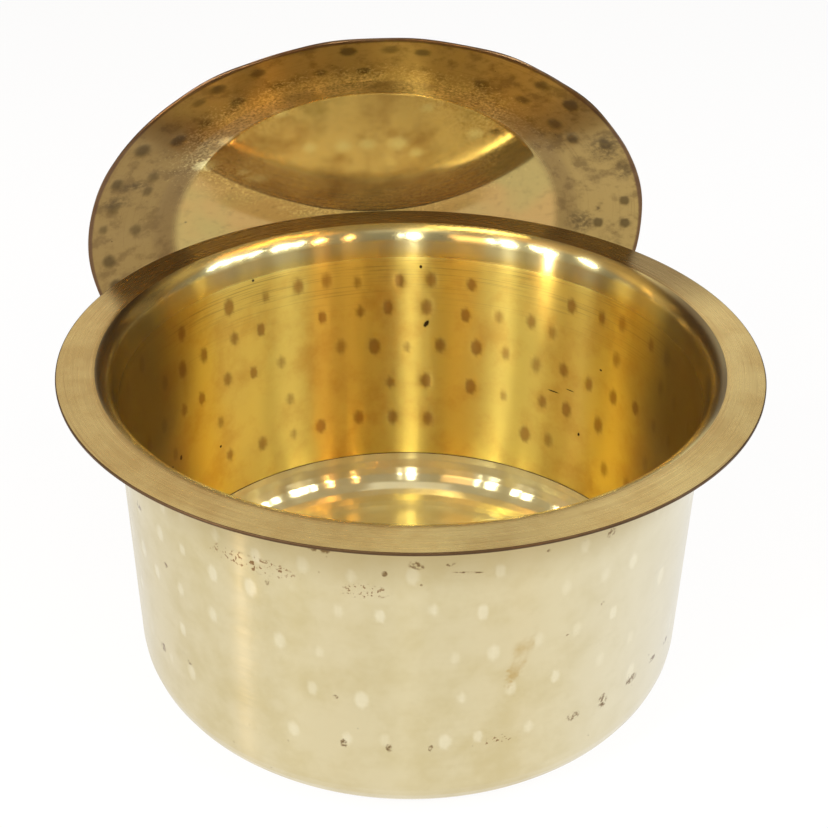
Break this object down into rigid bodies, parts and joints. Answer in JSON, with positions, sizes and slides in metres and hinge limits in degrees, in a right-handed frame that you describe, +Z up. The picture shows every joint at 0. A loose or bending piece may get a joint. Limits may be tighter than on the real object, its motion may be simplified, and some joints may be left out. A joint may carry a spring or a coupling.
{
  "type": "cooking pot with lid",
  "caption": "Flat-bottomed hammered brass cooking pot with a wide flat rim, and a loose dished lid that stands behind it, leans on the rim and lifts away.",
  "frame": {"origin": "centre of the pot's flat base, on the floor that the pot and the lid stand on", "axes": "+Z up along the pot's axis, +Y to the back where the lid leans, +X to the right as seen from the front"},
  "size_m": [0.2675, 0.3016, 0.223],
  "materials": {
    "pot_brass": "spun, hammered and polished",
    "lid_brass": "spun and hammered, aged and dull"
  },
  "bodies": {
    "pot": {"pot": "pot_brass"},
    "lid": {"lid": "lid_brass"}
  },
  "joints": [
    {"name": "lid_lift", "type": "slide", "parent": "pot", "child": "lid", "axis": [0, 0, 1], "range_m": [0, 0.15]}
  ]
}
